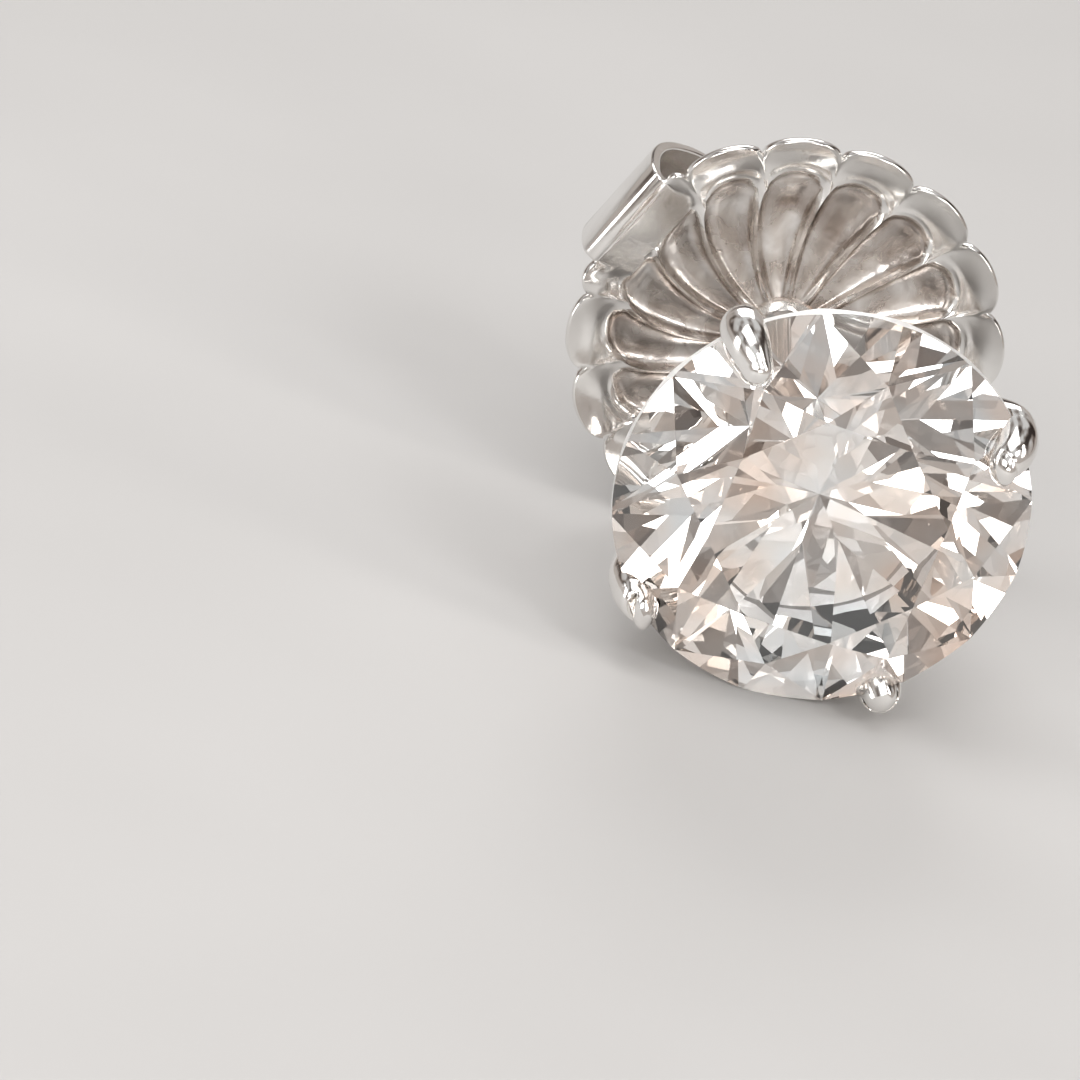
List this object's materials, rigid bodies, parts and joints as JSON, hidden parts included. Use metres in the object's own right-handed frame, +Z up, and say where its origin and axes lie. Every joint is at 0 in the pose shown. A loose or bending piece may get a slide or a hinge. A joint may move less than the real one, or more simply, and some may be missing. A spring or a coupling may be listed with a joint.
{
  "type": "stud earring",
  "caption": "Round brilliant diamond stud in a prong basket on a plain post, with a large fluted friction back that slides off the post.",
  "frame": {"origin": "on the surface the earring lies on, under the middle of its bounding box", "axes": "+Z up off the surface, +Y along the post towards its tip, which is raised by 1.8 degrees, the stone facing -Y"},
  "size_m": [0.0088, 0.0156, 0.0086],
  "materials": {
    "diamond": "polished facets with a frosted girdle",
    "white_gold": "polished",
    "stamped_gold": "polished rim and wings, satin flutes"
  },
  "bodies": {
    "stud": {"diamond": "diamond", "setting": "white_gold"},
    "back": {"ear_back": "stamped_gold"}
  },
  "joints": [
    {"name": "back_slide", "type": "slide", "parent": "stud", "child": "back", "axis": [0, 0.9995, 0.0311], "range_m": [-0.0035, 0.008]}
  ]
}
